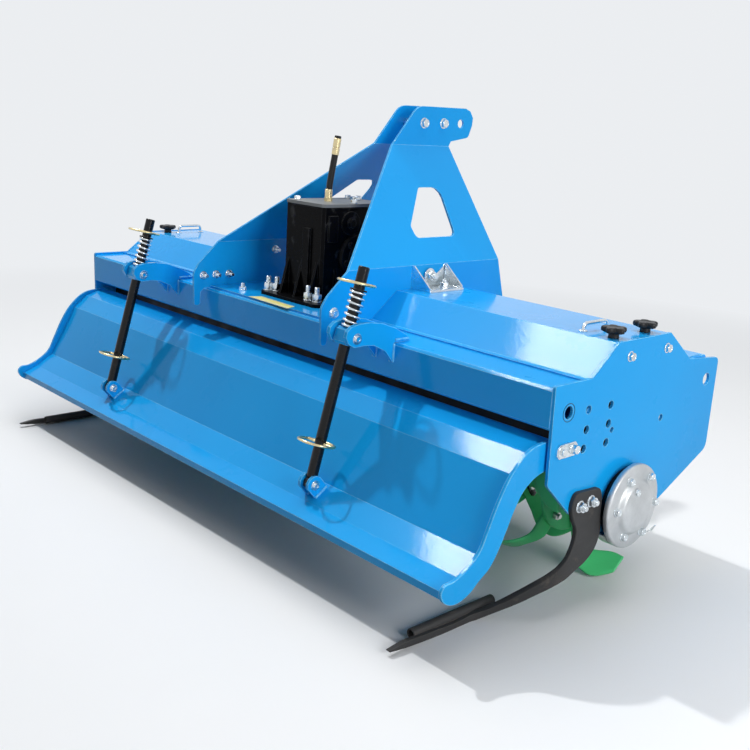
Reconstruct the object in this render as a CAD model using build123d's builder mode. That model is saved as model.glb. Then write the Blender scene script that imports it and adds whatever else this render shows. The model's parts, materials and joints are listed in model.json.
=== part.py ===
from build123d import *
import math
import os

# Rotary tiller, millimetres. +X is the right-hand end, +Y points to the tractor, +Z is up.
# The machine is drawn about its rotor axis plane (x = 0 at mid width, y = 0 at the rotor
# axis, z = 0 on the ground) and moved by ORIGIN_Y when it is written out.
os.makedirs("parts", exist_ok=True)

# ---------------------------------------------------------------- driving sizes
HALF_WIDTH = 1028.0        # to the outer face of an end plate
PLATE_T = 8.0              # end plates
AXIS_Z = 235.0             # rotor axis above ground
ROTOR_R = 235.0            # reach of the blades
SEAT = 0.3                 # gap between pieces that meet on different bodies
RUN = 0.3                  # radial play of a plain shaft in its hole
HANG = 6.0                 # side play of the tailgate between the end plates

BEAM_TOP = 556.0           # both box beams carry the deck and hood on this level
REAR_Y = -303.0            # rear face of the rear beam
REAR_DEPTH = 120.0
REAR_H = 94.0
FRONT_Y = 236.0            # rear face of the front beam
FRONT_DEPTH = 90.0
FRONT_H = 90.0
BEAM_WALL = 6.0
HOOD_T = 4.0
HOOD_TOP = 632.0
DECK_T = 6.0

MAST_X = 305.0             # outer face of a mast plate at its foot
MAST_T = 6.0
MAST_TOP_X = 42.0          # outer face at the top link
FOLD_LOW = 697.0
FOLD_HIGH = 1015.0
TOP_LINK_Y = 407.0
TOP_LINK_Z = 1086.0
TOP_LINK_R = 12.9

HITCH_X = 412.0            # middle of a lower hitch point
HITCH_GAP = 62.0           # between its cheeks
HITCH_T = 12.0
HITCH_Y = 420.0
HITCH_Z = 505.0
HITCH_HOLE_R = 14.3

HUB_R = 103.0
BOSS_R = 98.0             # round foot of the end plate about the rotor axis
SHAFT_R = 30.0
TUBE_R = 44.0

PIVOT_Y = -266.0           # tailgate hinge
PIVOT_Z = 413.0
PIVOT_R = 8.0
GATE_T = 5.0
BAND_T = 8.0

ROD_X = 497.0              # adjuster rods
ROD_R = 14.0
FOOT_Y = -520.0            # rod's pin on the tailgate
FOOT_Z = 226.0
BLOCK_Y = -426.0           # swivel block's axis
BLOCK_Z = 578.0
EYE_PIN_R = 7.0
EYE_R = 15.0
EYE_PLAY = 3.5             # the rod's eye drifts about its pin by up to this
TRUNNION_R = 8.0

IN_AXIS_Z = 690.0          # input shaft
IN_R = 17.5
IN_FREE = 100.0

INNER = HALF_WIDTH - PLATE_T
REACH_BACK = 635.0         # skid tip behind the rotor axis
REACH_FRONT = 463.0        # nose of the top-link tab before it
ORIGIN_Y = (REACH_BACK - REACH_FRONT) / 2.0
HOME = Location((0, ORIGIN_Y, 0))


# ---------------------------------------------------------------- small helpers
def put(name, shape):
    """Move a finished piece to the part's origin, label it and write it."""
    solids = [s.moved(HOME) for s in shape.solids()]
    piece = solids[0] if len(solids) == 1 else Compound(children=solids)
    piece.label = name
    export_step(piece, "parts/" + name + ".step")


def strip(line, t):
    """Closed outline of a sheet of thickness t on the left of a line of points."""
    n = len(line)
    normals = []
    for i in range(n - 1):
        dx = line[i + 1][0] - line[i][0]
        dy = line[i + 1][1] - line[i][1]
        size = math.hypot(dx, dy)
        normals.append((-dy / size, dx / size))
    back = []
    for i in range(n):
        a = normals[max(i - 1, 0)]
        b = normals[min(i, n - 2)]
        k = t / (1.0 + a[0] * b[0] + a[1] * b[1])
        back.append((line[i][0] + (a[0] + b[0]) * k, line[i][1] + (a[1] + b[1]) * k))
    return list(line) + back[::-1]


def cut_corners(wide, deep, c):
    """A rectangle with cut corners, in a sketch."""
    w, d = wide / 2, deep / 2
    return Polygon((-w, -d + c), (-w, d - c), (-w + c, d), (w - c, d), (w, d - c),
                   (w, -d + c), (w - c, -d), (-w + c, -d), align=None)


def arcs(outline, steps=3):
    """Closed outline; a point's third number is the radius that its corner is rounded to."""
    out = []
    for i, (y, z, *radius) in enumerate(outline):
        corner = Vector(y, z)
        if not radius:
            out.append(corner)
            continue
        before = (Vector(*outline[i - 1][:2]) - corner).normalized()
        after = (Vector(*outline[(i + 1) % len(outline)][:2]) - corner).normalized()
        half = math.radians(before.get_angle(after) / 2)
        middle = corner + (before + after).normalized() * (radius[0] / math.sin(half))
        first = corner + before * (radius[0] / math.tan(half)) - middle
        turn = math.copysign(180 - 2 * math.degrees(half), before.cross(after).Z)
        for k in range(steps + 1):
            out.append(middle + first.rotate(Axis.Z, -turn * k / steps))
    return out


def other_side(part):
    return mirror(part, Plane.YZ)


def yz(x):
    return Plane.YZ.offset(x)


# ---------------------------------------------------------------- end plates
# outline (y, z): hood shoulder, front ear, slopes to the round foot about the axis
plate_outline = [(-303, 563, 6), (-172, 563), (-82, 634), (132, 634), (236, 557), (379, 544, 15),
                 (374, 301, 25), (165, 205), (100, 190), (-100, 190), (-206, 252), (-299, 339, 12)]
ear_hole = (329, 492)
adjust_holes = [(-175, 492), (-90, 490), (-176, 446), (-92, 446), (-180, 402), (-94, 401)]
odd_holes = [(-75, 428, 7), (131, 423, 8.5)]
ring_hole = (-248, 497)
with BuildPart() as end_plate:
    with BuildSketch(yz(INNER)):
        with BuildLine():
            Polyline(*arcs(plate_outline), close=True)
        make_face()
        with Locations((0, AXIS_Z)):
            RegularPolygon(BOSS_R, 36)
            RegularPolygon(SHAFT_R + 6, 20, mode=Mode.SUBTRACT)
        with Locations(ear_hole):
            RegularPolygon(16, 16, mode=Mode.SUBTRACT)
        with Locations(*adjust_holes):
            RegularPolygon(10, 16, mode=Mode.SUBTRACT)
        for y, z, r in odd_holes:
            with Locations((y, z)):
                RegularPolygon(r, 14, mode=Mode.SUBTRACT)
        with Locations(ring_hole):
            RegularPolygon(15, 18, mode=Mode.SUBTRACT)
        with Locations((PIVOT_Y, PIVOT_Z)):
            RegularPolygon(PIVOT_R + RUN, 16, mode=Mode.SUBTRACT)
    extrude(amount=PLATE_T)
put("end_plate_right", end_plate.part)
put("end_plate_left", other_side(end_plate.part))

# ---------------------------------------------------------------- box beams
for name, y0, depth, high in (("rear_beam", REAR_Y, REAR_DEPTH, REAR_H),
                              ("front_beam", FRONT_Y, FRONT_DEPTH, FRONT_H)):
    mid = (y0 + depth / 2, BEAM_TOP - high / 2)
    with BuildPart() as beam:
        with BuildSketch(yz(-INNER)):
            with Locations(mid):
                cut_corners(depth, high, 6)
                Rectangle(depth - 2 * BEAM_WALL, high - 2 * BEAM_WALL, mode=Mode.SUBTRACT)
        extrude(amount=2 * INNER)
    put(name, beam.part)

# ---------------------------------------------------------------- hood, deck, rotor cover
hood_line = [(300, BEAM_TOP), (236, BEAM_TOP), (132, HOOD_TOP - HOOD_T),
             (-82, HOOD_TOP - HOOD_T), (-172, BEAM_TOP), (-192, BEAM_TOP)]
hood_sheet = strip([(a, b) for a, b in hood_line[::-1]], HOOD_T)
hood_end = [(236, BEAM_TOP), (132, HOOD_TOP - HOOD_T), (-82, HOOD_TOP - HOOD_T),
            (-172, BEAM_TOP)]
with BuildPart() as hood:
    with BuildSketch(yz(MAST_X)):
        with BuildLine():
            Polyline(*hood_sheet, close=True)
        make_face()
    extrude(amount=INNER - MAST_X)
    with BuildSketch(yz(MAST_X)):
        with BuildLine():
            Polyline(*hood_end, close=True)
        make_face()
    extrude(amount=HOOD_T)
put("hood_right", hood.part)
put("hood_left", other_side(hood.part))

MAST_IN = MAST_X - MAST_T
CASE_HALF = 50.0           # centre drive case
CASE_R = 95.0
with BuildPart() as deck:
    with BuildSketch(Plane.XY.offset(BEAM_TOP)):
        with Locations((0, (REAR_Y + FRONT_Y + FRONT_DEPTH) / 2 - 2)):
            Rectangle(2 * MAST_IN, FRONT_Y + FRONT_DEPTH - REAR_Y - 29)
    extrude(amount=DECK_T)
put("centre_deck", deck.part)

REAR_FRONT = REAR_Y + REAR_DEPTH
cover_line = [(REAR_FRONT, 468), (-128, 530), (170, 530), (FRONT_Y, 476)]
with BuildPart() as cover:
    with BuildSketch(yz(-INNER)):
        with BuildLine():
            Polyline(*cover_line, *[(a, b + HOOD_T) for a, b in cover_line[::-1]], close=True)
        make_face()
    extrude(amount=2 * INNER)
    with BuildSketch(Plane.XY.offset(BEAM_TOP - 130)):
        Rectangle(2 * (CASE_HALF + SEAT), 2 * (CASE_R + SEAT))
    extrude(amount=130, mode=Mode.SUBTRACT)
put("rotor_cover", cover.part)

# ---------------------------------------------------------------- mast
mast_outline = [(-347, 504, 8), (-327, 504, 8), (-325, 545), (-312, BEAM_TOP), (REAR_Y, BEAM_TOP),
                (FRONT_Y + FRONT_DEPTH, BEAM_TOP), (FRONT_Y + FRONT_DEPTH, 506), (366, 506),
                (373, 564), (333, FOLD_LOW), (359, FOLD_HIGH), (368, 1030), (446, 1044, 16),
                (REACH_FRONT - 2, 1082), (REACH_FRONT, 1106), (449, 1126), (427, 1134),
                (214, 1132, 50), (116, FOLD_HIGH), (-263, FOLD_LOW), (-332, 633),
                (-351, 604, 30)]
cut_out = [(36, 764, 12), (197, 764, 22), (226, 896, 24), (138, 896, 14), (34, 795, 12)]
spacer_spots = [(243, 1082), (329, 1084)]
bend = [(MAST_X, 480), (MAST_X, FOLD_LOW), (MAST_TOP_X, FOLD_HIGH), (MAST_TOP_X, 1150)]
with BuildPart() as mast:
    with BuildSketch(yz(0)):
        with BuildLine():
            Polyline(*arcs(mast_outline), close=True)
        make_face()
        with BuildLine():
            Polyline(*arcs(cut_out), close=True)
        make_face(mode=Mode.SUBTRACT)
        with Locations((TOP_LINK_Y, TOP_LINK_Z)):
            Circle(TOP_LINK_R, mode=Mode.SUBTRACT)
    extrude(amount=MAST_X + 10)
    with BuildSketch(Plane.XZ):
        with BuildLine():
            Polyline(*strip(bend, MAST_T), close=True)
        make_face()
    extrude(amount=700, both=True, mode=Mode.INTERSECT)
put("mast_plate_right", mast.part)
put("mast_plate_left", other_side(mast.part))

TOP_IN = MAST_TOP_X - MAST_T
with BuildPart() as spacers:
    with BuildSketch(yz(-TOP_IN)):
        with Locations(*spacer_spots):
            RegularPolygon(14, 20)
    extrude(amount=2 * TOP_IN)
put("mast_spacers", spacers.part)

# gusseted bracket that ties the mast plate to the hood top
BRACKET_L = 132.0
BRACKET_W = 78.0
BRACKET_T = 6.0
with BuildPart() as bracket:
    with Locations((MAST_X, 35, HOOD_TOP)):
        Box(BRACKET_W, BRACKET_L, BRACKET_T, align=(Align.MIN, Align.CENTER, Align.MIN))
        Box(BRACKET_T, BRACKET_L, 64, align=(Align.MIN, Align.CENTER, Align.MIN))
    for y in (35 - BRACKET_L / 2, 35 + BRACKET_L / 2 - BRACKET_T):
        with BuildSketch(Plane.XZ.offset(-y - BRACKET_T)):
            with BuildLine():
                Polyline((MAST_X, HOOD_TOP), (MAST_X + BRACKET_W - 4, HOOD_TOP),
                         (MAST_X + BRACKET_W - 4, HOOD_TOP + 10), (MAST_X + 8, HOOD_TOP + 62),
                         (MAST_X, HOOD_TOP + 62), close=True)
            make_face()
        extrude(amount=BRACKET_T)
put("mast_bracket_right", bracket.part)
put("mast_bracket_left", other_side(bracket.part))

# ---------------------------------------------------------------- lower hitch points
hitch_outline = [(FRONT_Y + FRONT_DEPTH, 470), (HITCH_Y - 20, 470), (HITCH_Y + 28, 480),
                 (HITCH_Y + 34, HITCH_Z), (HITCH_Y + 28, 536), (HITCH_Y - 30, 566),
                 (FRONT_Y + FRONT_DEPTH, BEAM_TOP - 9)]
with BuildPart() as hitch:
    for x in (HITCH_X - HITCH_GAP / 2 - HITCH_T, HITCH_X + HITCH_GAP / 2):
        with BuildSketch(yz(x)):
            with BuildLine():
                Polyline(*hitch_outline, close=True)
            make_face()
            with Locations((HITCH_Y, HITCH_Z)):
                Circle(HITCH_HOLE_R, mode=Mode.SUBTRACT)
        extrude(amount=HITCH_T)
put("lower_hitch_right", hitch.part)
put("lower_hitch_left", other_side(hitch.part))

# ---------------------------------------------------------------- gearbox
DECK_TOP = BEAM_TOP + DECK_T
GB_FLANGE = 10.0
GB_W = 174.0
GB_D = 250.0
GB_BASE_W = 268.0
GB_BASE_D = 330.0
GB_Y = -50.0
GB_REAR = GB_Y - GB_D / 2
GB_FOOT = DECK_TOP + GB_FLANGE
LID_TOP = 845.0
LID_T = 9.0
RIB_T = 9.0
COVER_R = 68.0
BOSS_Z = LID_TOP - 55
with BuildPart() as gearbox:
    with BuildSketch(Plane.XY.offset(DECK_TOP)):
        with Locations((0, GB_Y - 15)):
            cut_corners(GB_BASE_W, GB_BASE_D, 14)
    extrude(amount=GB_FLANGE)
    with BuildSketch(Plane.XY.offset(GB_FOOT)):
        with Locations((0, GB_Y)):
            cut_corners(GB_W, GB_D, 8)
    extrude(amount=LID_TOP - LID_T - GB_FOOT)
    for x in (-66, 0, 66):             # ribs on the rear wall
        with BuildSketch(yz(x - RIB_T / 2)):
            with BuildLine():
                Polyline((GB_REAR, GB_FOOT), (GB_REAR - 29, GB_FOOT), (GB_REAR - 26, GB_FOOT + 10),
                         (GB_REAR, GB_FOOT + 110), close=True)
            make_face()
        extrude(amount=RIB_T)
    for side in (-1, 1):               # ribs on the side walls
        for y in (-125, 25):
            with BuildSketch(Plane.XZ.offset(-y - RIB_T / 2)):
                with BuildLine():
                    Polyline((side * GB_W / 2, GB_FOOT), (side * (GB_W / 2 + 30), GB_FOOT),
                             (side * GB_W / 2, GB_FOOT + 90), close=True)
                make_face()
            extrude(amount=RIB_T)
    with Locations((20, GB_REAR, GB_FOOT)):
        Box(28, 8, 200, align=(Align.CENTER, Align.MAX, Align.MIN))
    with BuildSketch(Plane.XZ.offset(-(GB_Y + 110))):
        with Locations((0, IN_AXIS_Z)):
            RegularPolygon(60, 24)
    extrude(amount=-62)
    with BuildSketch(Plane.XZ.offset(-(GB_Y + 122))):
        with Locations((0, IN_AXIS_Z)):
            RegularPolygon(IN_R + 5 + 2 * RUN, 32)
    extrude(amount=-60, mode=Mode.SUBTRACT)
    # bearing covers, oil bosses and raised panels, the same on both side walls
    for y, z, r, proud in ((GB_Y + 10, IN_AXIS_Z, COVER_R, 10), (GB_Y - 24, BOSS_Z, 34, 4)):
        with BuildSketch(yz(-GB_W / 2 - proud)):
            with Locations((y, z)):
                RegularPolygon(r, 24)
        extrude(amount=GB_W + 2 * proud)
    with Locations((0, GB_REAR + 35, BOSS_Z - 15)):
        Box(GB_W + 10, 33, 74)
put("gearbox_case", gearbox.part)

with BuildPart() as lid:
    with BuildSketch(Plane.XY.offset(LID_TOP - LID_T)):
        with Locations((0, GB_Y)):
            cut_corners(GB_W + 4, GB_D + 4, 9)
    extrude(amount=LID_T)
put("gearbox_lid", lid.part)

with BuildPart() as shaft:
    with BuildSketch(Plane.XZ.offset(-(GB_Y + 124))):
        with Locations((0, IN_AXIS_Z)):
            RegularPolygon(IN_R + 5, 24)
    extrude(amount=-70)
    with BuildSketch(Plane.XZ.offset(-(GB_Y + 194))):
        with Locations((0, IN_AXIS_Z)):
            Circle(IN_R)
    extrude(amount=-IN_FREE)
put("input_shaft", shaft.part)

BREATHER_R = 8.5
breather_line = [(0, -88, LID_TOP), (0, -88, LID_TOP + 25), (6, -84, LID_TOP + 80),
                  (14, -74, LID_TOP + 185)]
with BuildPart() as breather:
    with BuildLine():
        Polyline(*breather_line)
    with BuildSketch(Plane(origin=breather_line[0], z_dir=(0, 0, 1))):
        RegularPolygon(BREATHER_R, 10)
    sweep(transition=Transition.RIGHT)
put("breather_pipe", breather.part)

with BuildPart() as drive_case:
    with BuildSketch(yz(-CASE_HALF)):
        with Locations((0, AXIS_Z)):
            RegularPolygon(CASE_R, 32)
        with Locations((0, (AXIS_Z + BEAM_TOP) / 2)):
            Rectangle(2 * CASE_R, BEAM_TOP - AXIS_Z)
        with Locations((0, AXIS_Z)):
            RegularPolygon(SHAFT_R + RUN, 32, mode=Mode.SUBTRACT)
    extrude(amount=2 * CASE_HALF)
put("centre_drive_case", drive_case.part)

# ---------------------------------------------------------------- hubs
HUB_FACE = HALF_WIDTH + 35.0
HUB_NOSE = HALF_WIDTH + 56.0
RING_T = 20.0
SHAFT_END = HALF_WIDTH + 30.0
hub_steps = [  # from, to, radius at the start, radius at the end
    (HALF_WIDTH, HALF_WIDTH + RING_T, 86, 86), (HALF_WIDTH + RING_T, HUB_FACE, HUB_R, HUB_R),
    (HUB_FACE, HUB_NOSE - 6, 66, 57), (HUB_NOSE - 6, HUB_NOSE, 57, 44)]
with BuildPart() as hub:
    for x0, x1, r0, r1 in hub_steps:
        with BuildSketch(yz(x0)):
            RegularPolygon(r0, 28)
        with BuildSketch(yz(x1)):
            RegularPolygon(r1, 28)
        loft()
    with BuildSketch(yz(HALF_WIDTH)):
        RegularPolygon(SHAFT_R + 2 * RUN, 24)
    extrude(amount=SHAFT_END - HALF_WIDTH + 4, mode=Mode.SUBTRACT)
hub_at = hub.part.moved(Location((0, 0, AXIS_Z)))
put("hub_right", hub_at)
put("hub_left", other_side(hub_at))

with BuildPart() as guard:
    with BuildSketch(yz(INNER)):
        with Locations((0, AXIS_Z)):
            RegularPolygon(BOSS_R + 5, 40)
            RegularPolygon(BOSS_R + 1, 40, mode=Mode.SUBTRACT)
        with BuildLine():
            Polyline((0, AXIS_Z), (-120, AXIS_Z - 88), (-120, 0), (60, 0), close=True)
        make_face(mode=Mode.INTERSECT)
    extrude(amount=PLATE_T + 18)
put("soil_guard_right", guard.part)
put("soil_guard_left", other_side(guard.part))

# ---------------------------------------------------------------- rotor
FLANGE_T = 10.0
FLANGE_R = 118.0
FLANGE_PITCH = 178.0
FIRST_FLANGE = 172.0
FLANGES = 5
with BuildPart() as spindle:
    with BuildSketch(yz(-SHAFT_END)):
        with Locations((0, AXIS_Z)):
            RegularPolygon(SHAFT_R, 24)
    extrude(amount=2 * SHAFT_END)
    for side in (-1, 1):
        x0 = CASE_HALF + 6 if side > 0 else -INNER + 8
        with BuildSketch(yz(x0)):
            with Locations((0, AXIS_Z)):
                RegularPolygon(TUBE_R, 16)
        extrude(amount=INNER - 8 - CASE_HALF - 6)
        for i in range(FLANGES):
            x = side * (FIRST_FLANGE + i * FLANGE_PITCH)
            with BuildSketch(yz(x - FLANGE_T / 2)):
                with Locations((0, AXIS_Z)):
                    RegularPolygon(FLANGE_R, 12)
            extrude(amount=FLANGE_T)

BLADE_T = 8.0
BLADE_REACH = 110.0
BEND_SKEW = 20.0           # the bend runs across the blade at this angle
# one blade, drawn hanging down from the rotor axis: seen from its side in (y, z), its bend in
# (x, z) and seen from above in (x, y), where the leading corner is cut back
side_form = [(-28, -62), (-32, -130), (-46, -172), (-44, -220), (-14, -ROTOR_R), (30, -232),
             (56, -204), (36, -150), (28, -62)]
bend_line = [(0, -50), (0, -150), (8, -174), (30, -194), (BLADE_REACH + 1, -205)]
plan_form = [(0, -80), (BLADE_REACH - 45, -80), (BLADE_REACH, -12), (BLADE_REACH - 10, 80), (0, 80)]
with BuildPart() as blade:
    with BuildSketch(yz(0)):
        with BuildLine():
            Polyline(*side_form, close=True)
        make_face()
    extrude(amount=BLADE_REACH)
    with BuildSketch(Plane.XZ.rotated((BEND_SKEW, 0, 0))):
        with BuildLine():
            Polyline(*strip(bend_line, BLADE_T), close=True)
        make_face()
    extrude(amount=200, both=True, mode=Mode.INTERSECT)
    with BuildSketch(Plane.XY.offset(-ROTOR_R - 5)):
        with BuildLine():
            Polyline(*plan_form, close=True)
        make_face()
    extrude(amount=ROTOR_R, mode=Mode.INTERSECT)
blade_out = blade.part
blade_in = other_side(blade.part)
FIRST_TURN = 16.0
hand_right = []
hand_left = []
for side in (-1, 1):
    for i in range(FLANGES):
        x = side * (FIRST_FLANGE + i * FLANGE_PITCH)
        phase = FIRST_TURN + 20.0 * (FLANGES - 1 - i) + (0 if side > 0 else 60)
        for k in range(3):
            turn = phase + 120.0 * k
            spot = Location((x + FLANGE_T / 2, 0, AXIS_Z))
            hand_right.append(blade_out.rotate(Axis.X, turn).moved(spot))
            spot = Location((x - FLANGE_T / 2, 0, AXIS_Z))
            hand_left.append(blade_in.rotate(Axis.X, turn + 60).moved(spot))
put("rotor", spindle.part.fuse(*hand_right, *hand_left))

# ---------------------------------------------------------------- skids
TAIL_X = HALF_WIDTH - 110.0        # outer face of the tail, which runs behind the rotor
TAIL_TUBE_R = 12.0
skid_plan = [(HALF_WIDTH + 12, -60), (HALF_WIDTH + 12, -219), (HALF_WIDTH - 4, -246),
             (TAIL_X + 26, -330), (TAIL_X, -372), (TAIL_X, -660)]
skid_side = [(-109, 299, 14), (-203, 304, 14), (-213, 274), (-206, 244), (-189, 215), (-191, 189),
             (-204, 159), (-227, 131), (-262, 94), (-293, 64), (-316, 43), (-351, 20),
             (-403, 15), (-531, 18), (-598, 19), (-REACH_BACK, 13), (-600, 7), (-545, 3),
             (-480, 0), (-363, 0), (-323, 21), (-291, 44), (-260, 70), (-225, 98),
             (-178, 112), (-142, 124), (-105, 149), (-93, 190), (-98, 229)]
with BuildPart() as skid:
    with BuildSketch(yz(TAIL_X - 38)):
        with BuildLine():
            Polyline(*arcs(skid_side), close=True)
        make_face()
    extrude(amount=HALF_WIDTH + 52 - TAIL_X)
    with BuildSketch(Plane.XY):
        with BuildLine():
            Polyline(*strip(skid_plan[::-1], 12), close=True)
        make_face()
    extrude(amount=400, mode=Mode.INTERSECT)
    with BuildSketch(Plane.XZ.offset(290)):
        with Locations((TAIL_X - TAIL_TUBE_R - 10, 17)):
            RegularPolygon(TAIL_TUBE_R, 16)
            RegularPolygon(TAIL_TUBE_R - 4, 12, mode=Mode.SUBTRACT)
    extrude(amount=263)
put("skid_right", skid.part)
put("skid_left", other_side(skid.part))

# ---------------------------------------------------------------- tailgate
GATE_HALF = INNER - HANG
gate_line = [(-278, 437), (-345, 416), (-391, 378), (-478, 219), (-532, 183), (-579, 164),
             (-578, 146)]
with BuildPart() as gate:
    with BuildSketch(yz(-(GATE_HALF - BAND_T))):
        with BuildLine():
            Polyline(*strip(gate_line, GATE_T), close=True)
        make_face()
    extrude(amount=2 * (GATE_HALF - BAND_T))
put("tailgate_sheet", gate.part)

band_outline = [(-296, 436), (-347, 428), (-404, 384), (-440, 329), (-465, 277), (-490, 229),
                (-518, 207), (-560, 188), (-588, 184), (-596, 173), (-589, 152), (-566, 137),
                (-511, 145), (-482, 166), (-453, 185), (-426, 222), (-405, 262), (-385, 302),
                (-358, 340), (-330, 358), (-248, 388), (-240, 400), (-240, 426), (-252, 438)]
with BuildPart() as bands:
    with BuildSketch(yz(GATE_HALF - BAND_T)):
        with BuildLine():
            Polyline(*band_outline, close=True)
        make_face()
        with Locations((PIVOT_Y, PIVOT_Z)):
            RegularPolygon(PIVOT_R + RUN, 16, mode=Mode.SUBTRACT)
    extrude(amount=BAND_T)
both = Compound(children=[bands.part, other_side(bands.part)])
put("tailgate_bands", both)

# ears that carry the rods' feet, and their pins
EAR_T = 8.0
EYE_W = 20.0
EAR_GAP = 1.0
EAR_R = 23.0
facet = gate_line[3:5]
ear_base = [tuple(facet[0][i] + k * (facet[1][i] - facet[0][i]) for i in (0, 1))
            for k in (0.08, 0.74)]
ear_top = [(FOOT_Y + EAR_R * math.cos(math.radians(a)), FOOT_Z + EAR_R * math.sin(math.radians(a)))
           for a in (195, 165, 135, 105, 75, 45)]
ears = []
for x in (ROD_X - EYE_W / 2 - EAR_GAP - EAR_T, ROD_X + EYE_W / 2 + EAR_GAP):
    with BuildPart() as ear:
        with BuildSketch(yz(x)):
            with BuildLine():
                Polyline(*ear_base, *ear_top, close=True)
            make_face()
        extrude(amount=EAR_T)
    ears.append(ear.part)
with BuildPart() as eye_pin:
    with BuildSketch(yz(ROD_X - EYE_W / 2 - EAR_GAP - EAR_T)):
        with Locations((FOOT_Y, FOOT_Z)):
            RegularPolygon(EYE_PIN_R, 16)
    extrude(amount=EYE_W + 2 * EAR_GAP + 2 * EAR_T)
foot = ears[0] + ears[1] + eye_pin.part
put("rod_brackets", Compound(children=[foot, other_side(foot)]))

# hinge links: plate on the end plate's face with the hinge pin through it
LINK_T = 6.0
with BuildPart() as link:
    with BuildSketch(yz(HALF_WIDTH)):
        with Locations((PIVOT_Y + 19, PIVOT_Z)):
            cut_corners(72, 32, 9)
    extrude(amount=LINK_T)
    with BuildSketch(yz(GATE_HALF - BAND_T - 4)):
        with Locations((PIVOT_Y, PIVOT_Z)):
            Circle(PIVOT_R)
    extrude(amount=HALF_WIDTH - GATE_HALF + BAND_T + 4 + LINK_T + 8)
put("hinge_link_right", link.part)
put("hinge_link_left", other_side(link.part))

# ---------------------------------------------------------------- adjusters
BLOCK_W = 42.0
CHEEK_GAP = 5.0
WING_T = 10.0
wing_outline = [(-460, 584), (-457, 598), (-444, 609), (-418, 614), (-385, 614), (-345, 608),
                (-300, 592), (-262, 572), (-250, 560), (-250, BEAM_TOP), (REAR_Y, BEAM_TOP),
                (REAR_Y, 505), (-332, 538), (-370, 556), (-405, 559), (-432, 557), (-451, 567)]
with BuildPart() as wing:
    for x in (ROD_X - BLOCK_W / 2 - CHEEK_GAP - WING_T, ROD_X + BLOCK_W / 2 + CHEEK_GAP):
        with BuildSketch(yz(x)):
            with BuildLine():
                Polyline(*wing_outline, close=True)
            make_face()
            with Locations((BLOCK_Y, BLOCK_Z)):
                RegularPolygon(TRUNNION_R + RUN, 16, mode=Mode.SUBTRACT)
        extrude(amount=WING_T)
put("wing_bracket_right", wing.part)
put("wing_bracket_left", other_side(wing.part))

ROD_LEAN = math.degrees(math.atan2(BLOCK_Y - FOOT_Y, BLOCK_Z - FOOT_Z))
ROD_SPAN = math.hypot(BLOCK_Y - FOOT_Y, BLOCK_Z - FOOT_Z)
TILT = Location((ROD_X, BLOCK_Y, BLOCK_Z), (-ROD_LEAN, 0, 0))
BLOCK_H = 42.0
BLOCK_D = 44.0
with BuildPart() as block:
    with BuildSketch(yz(-BLOCK_W / 2)):
        cut_corners(BLOCK_D, BLOCK_H, 7)
    extrude(amount=BLOCK_W)
    with BuildSketch(Plane.XY.offset(-BLOCK_H / 2 - 1)):
        RegularPolygon(ROD_R + RUN, 20)
    extrude(amount=BLOCK_H + 2, mode=Mode.SUBTRACT)
    for x, out in ((BLOCK_W / 2, 1), (-BLOCK_W / 2, -1)):
        with BuildSketch(yz(x)):
            Circle(TRUNNION_R)
        extrude(amount=out * (CHEEK_GAP + WING_T + 6))
put("swivel_block_right", block.part.moved(TILT))
put("swivel_block_left", other_side(block.part.moved(TILT)))

SPRING_LOW = BLOCK_H / 2 + SEAT
SPRING_H = 90.0
WIRE_R = 3.0
SPRING_R = 18.0
with BuildPart() as spring:
    with BuildSketch(Plane.XY.offset(SPRING_LOW)):
        RegularPolygon(SPRING_R + WIRE_R, 20)
        RegularPolygon(SPRING_R - WIRE_R, 20, mode=Mode.SUBTRACT)
    extrude(amount=SPRING_H)
put("spring_right", spring.part.moved(TILT))
put("spring_left", other_side(spring.part.moved(TILT)))

ROD_TOP = 171.0            # above the block's axis, along the rod
CLIP_HIGH = SPRING_LOW + SPRING_H + 18.0
CLIP_LOW = -ROD_SPAN + 100.0
with BuildPart() as rod:
    with BuildSketch(Plane.XY.offset(-ROD_SPAN)):
        RegularPolygon(ROD_R, 20)
    extrude(amount=ROD_SPAN + ROD_TOP)
    with BuildSketch(yz(-EYE_W / 2)):
        with Locations((0, -ROD_SPAN)):
            RegularPolygon(EYE_R, 20)
    extrude(amount=EYE_W)
    for x0 in (-30, EYE_W / 2):
        with Locations((x0, 0, -ROD_SPAN)):
            Box(30 - EYE_W / 2, 60, 64, align=(Align.MIN, Align.CENTER, Align.CENTER),
                mode=Mode.SUBTRACT)
    with BuildSketch(yz(-30)):
        with Locations((0, -ROD_SPAN)):
            RegularPolygon(EYE_PIN_R + EYE_PLAY, 20)
    extrude(amount=60, mode=Mode.SUBTRACT)
    with BuildSketch(Plane.XY.offset(SPRING_LOW + SPRING_H + SEAT)):
        RegularPolygon(SPRING_R + WIRE_R, 24)
    extrude(amount=6)
put("adjuster_rod_right", rod.part.moved(TILT))
put("adjuster_rod_left", other_side(rod.part.moved(TILT)))

CLIP_R = 48.0
CLIP_OFF = 12.0            # the ring hangs to the back of its rod
CLIP_T = 6.0
with BuildPart() as clips:
    for z in (CLIP_LOW, CLIP_HIGH):
        with BuildSketch(Plane.XY.offset(z - CLIP_T / 2)):
            with Locations((0, -CLIP_OFF)):
                RegularPolygon(CLIP_R, 24)
                RegularPolygon(CLIP_R - CLIP_T, 24, mode=Mode.SUBTRACT)
        extrude(amount=CLIP_T)
        for x0 in (-CLIP_R + 3, ROD_R + 0.1):
            with Locations((x0, 0, z)):
                Box(CLIP_R - 3 - ROD_R - 0.1, 7, CLIP_T, align=(Align.MIN, Align.CENTER, Align.CENTER))
put("ring_clips_right", clips.part.moved(TILT))
put("ring_clips_left", other_side(clips.part.moved(TILT)))

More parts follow.
